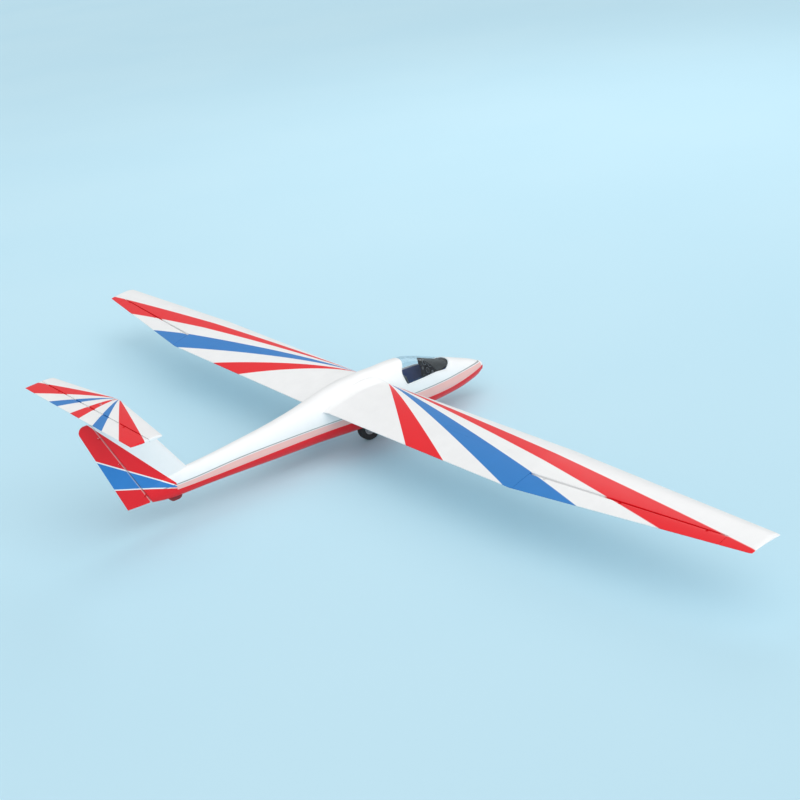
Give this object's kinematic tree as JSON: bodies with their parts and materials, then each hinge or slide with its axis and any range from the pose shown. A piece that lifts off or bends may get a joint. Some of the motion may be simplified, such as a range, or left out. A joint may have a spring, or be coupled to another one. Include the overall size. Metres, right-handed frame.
{
  "type": "rc glider",
  "caption": "High-aspect-ratio T-tail radio-controlled glider with two-piece wing, ailerons, airbrakes, rudder, elevator, lift-off canopy and a fixed main wheel.",
  "frame": {"origin": "on the ground, under the middle of the bounding box", "axes": "nose to -Y, port wing to +X, up +Z, with the fuselage level"},
  "size_m": [3, 1.346, 0.4],
  "materials": {
    "shell_white": "white moulded laminate, clear gloss",
    "fin_paint": "balsa and plywood under white gloss film with red and blue rays",
    "rudder_paint": "balsa under red, blue and white gloss film",
    "tail_paint": "balsa under white gloss film with red and blue rays",
    "wing_paint": "balsa and plywood under white gloss film with red and blue rays",
    "frame_white": "white gloss paint",
    "skid_red": "dark red",
    "steel": "bright wire",
    "aluminium": "plain",
    "nylon": "moulded nylon",
    "servo_case": "moulded case",
    "tyre": "black rubber",
    "hub_grey": "grey moulding",
    "tub_blue": "navy blue liner",
    "cloth_blue": "blue cloth",
    "panel_black": "black",
    "clear": "clear moulded canopy",
    "plywood": "light birch plywood",
    "battery_wrap": "blue heat-shrink"
  },
  "bodies": {
    "airframe": {"fuselage_shell": "shell_white", "fin": "fin_paint", "rudder_hinge_wire": "steel", "rudder_servo": "servo_case", "elevator_servo": "servo_case", "tailplane": "tail_paint", "elevator_hinge_wire": "steel", "tailplane_screw_front": "steel", "tailplane_screw_rear": "steel", "tail_skid": "skid_red", "tow_hook": "aluminium", "wheel_axle": "steel", "wheel_carrier": "aluminium", "cockpit_tub": "tub_blue", "seat_pan": "hub_grey", "seat_cushion": "cloth_blue", "instrument_panel": "panel_black", "control_stick": "panel_black", "battery_tray": "plywood", "battery_pack": "battery_wrap", "radio_tray": "plywood", "receiver": "servo_case", "switch_body": "servo_case", "wing_joiner_tube": "aluminium", "anti_rotation_dowel": "steel", "wing_left": "wing_paint", "aileron_hinge_wire_left": "steel", "aileron_servo_left": "servo_case", "servo_hatch_left": "shell_white", "airbrake_box_left": "hub_grey", "wing_bolt_left": "nylon", "wing_right": "wing_paint", "aileron_hinge_wire_right": "steel", "aileron_servo_right": "servo_case", "servo_hatch_right": "shell_white", "airbrake_box_right": "hub_grey", "wing_bolt_right": "nylon"},
    "rudder": {"rudder": "rudder_paint", "rudder_horn": "nylon"},
    "rudder_arm": {"rudder_servo_arm": "nylon"},
    "rudder_rod": {"rudder_pushrod": "steel"},
    "elevator": {"elevator": "tail_paint", "elevator_horn": "nylon"},
    "elevator_arm": {"elevator_servo_arm": "nylon"},
    "elevator_rod": {"elevator_pushrod": "steel"},
    "wheel": {"wheel_tyre": "tyre", "wheel_hub": "hub_grey"},
    "canopy": {"canopy_frame": "frame_white", "canopy_glazing": "clear"},
    "switch": {"switch_slider": "nylon"},
    "aileron_left": {"aileron_left": "wing_paint", "aileron_horn_left": "nylon"},
    "aileron_arm_left": {"aileron_servo_arm_left": "nylon"},
    "aileron_rod_left": {"aileron_pushrod_left": "steel"},
    "airbrake_left": {"airbrake_blade_left": "aluminium"},
    "aileron_right": {"aileron_right": "wing_paint", "aileron_horn_right": "nylon"},
    "aileron_arm_right": {"aileron_servo_arm_right": "nylon"},
    "aileron_rod_right": {"aileron_pushrod_right": "steel"},
    "airbrake_right": {"airbrake_blade_right": "aluminium"}
  },
  "joints": [
    {"name": "rudder_hinge", "type": "hinge", "parent": "airframe", "child": "rudder", "pos_m": [0, 0.57658, 0.212], "axis": [0, 0.4096, 0.9123], "range_deg": [-25, 25]},
    {"name": "rudder_servo_pivot", "type": "hinge", "parent": "airframe", "child": "rudder_arm", "pos_m": [0, -0.05384, 0.122], "axis": [0, 0.4096, 0.9123], "range_deg": [-26, 26]},
    {"name": "rudder_rod_pivot", "type": "hinge", "parent": "rudder_arm", "child": "rudder_rod", "pos_m": [0.014, -0.05384, 0.122], "axis": [0, 0.4096, 0.9123], "range_deg": [-26, 26]},
    {"name": "elevator_hinge", "type": "hinge", "parent": "airframe", "child": "elevator", "pos_m": [0, 0.627, 0.3935], "axis": [1, 0, 0], "range_deg": [-18, 18]},
    {"name": "elevator_servo_pivot", "type": "hinge", "parent": "airframe", "child": "elevator_arm", "pos_m": [0.0018, 0.39483, 0.10798], "axis": [1, 0, 0], "range_deg": [-19, 19]},
    {"name": "elevator_rod_pivot", "type": "hinge", "parent": "elevator_arm", "child": "elevator_rod", "pos_m": [0.0018, 0.40414, 0.10041], "axis": [1, 0, 0], "range_deg": [-19, 19]},
    {"name": "aileron_hinge_left", "type": "hinge", "parent": "airframe", "child": "aileron_left", "pos_m": [0.97999, -0.12041, 0.17822], "axis": [0.9948, -0.1016, 0.0119], "range_deg": [-20, 20]},
    {"name": "aileron_servo_pivot_left", "type": "hinge", "parent": "airframe", "child": "aileron_arm_left", "pos_m": [0.97365, -0.1819, 0.18338], "axis": [0.9948, -0.1016, 0.0119], "range_deg": [-21, 21]},
    {"name": "aileron_rod_pivot_left", "type": "hinge", "parent": "aileron_arm_left", "child": "aileron_rod_left", "pos_m": [0.97374, -0.18263, 0.1694], "axis": [0.9948, -0.1016, 0.0119], "range_deg": [-21, 21]},
    {"name": "aileron_hinge_right", "type": "hinge", "parent": "airframe", "child": "aileron_right", "pos_m": [-0.97999, -0.12041, 0.17822], "axis": [0.9948, 0.1016, -0.0119], "range_deg": [-20, 20]},
    {"name": "aileron_servo_pivot_right", "type": "hinge", "parent": "airframe", "child": "aileron_arm_right", "pos_m": [-0.97365, -0.1819, 0.18338], "axis": [0.9948, 0.1016, -0.0119], "range_deg": [-21, 21]},
    {"name": "aileron_rod_pivot_right", "type": "hinge", "parent": "aileron_arm_right", "child": "aileron_rod_right", "pos_m": [-0.97374, -0.18263, 0.1694], "axis": [0.9948, 0.1016, -0.0119], "range_deg": [-21, 21]},
    {"name": "airbrake_slide_left", "type": "slide", "parent": "airframe", "child": "airbrake_left", "axis": [-0.0105, 0.0523, 0.9986], "range_m": [0, 0.018]},
    {"name": "airbrake_slide_right", "type": "slide", "parent": "airframe", "child": "airbrake_right", "axis": [0.0105, 0.0523, 0.9986], "range_m": [0, 0.018]},
    {"name": "wheel_spin", "type": "hinge", "parent": "airframe", "child": "wheel", "pos_m": [0, -0.224, 0.038], "axis": [1, 0, 0], "continuous": true},
    {"name": "canopy_lift", "type": "slide", "parent": "airframe", "child": "canopy", "axis": [0, -0.8192, 0.5736], "range_m": [0, 0.06]},
    {"name": "switch_slide", "type": "slide", "parent": "airframe", "child": "switch", "axis": [0, 1, 0], "range_m": [0, 0.008]}
  ],
  "couplings": [
    {"joint": "rudder_servo_pivot", "follows": "rudder_hinge", "ratio": 1},
    {"joint": "rudder_rod_pivot", "follows": "rudder_hinge", "ratio": -1},
    {"joint": "elevator_servo_pivot", "follows": "elevator_hinge", "ratio": 1},
    {"joint": "elevator_rod_pivot", "follows": "elevator_hinge", "ratio": -1},
    {"joint": "aileron_servo_pivot_left", "follows": "aileron_hinge_left", "ratio": 1},
    {"joint": "aileron_rod_pivot_left", "follows": "aileron_hinge_left", "ratio": -1},
    {"joint": "aileron_servo_pivot_right", "follows": "aileron_hinge_right", "ratio": 1},
    {"joint": "aileron_rod_pivot_right", "follows": "aileron_hinge_right", "ratio": -1}
  ]
}
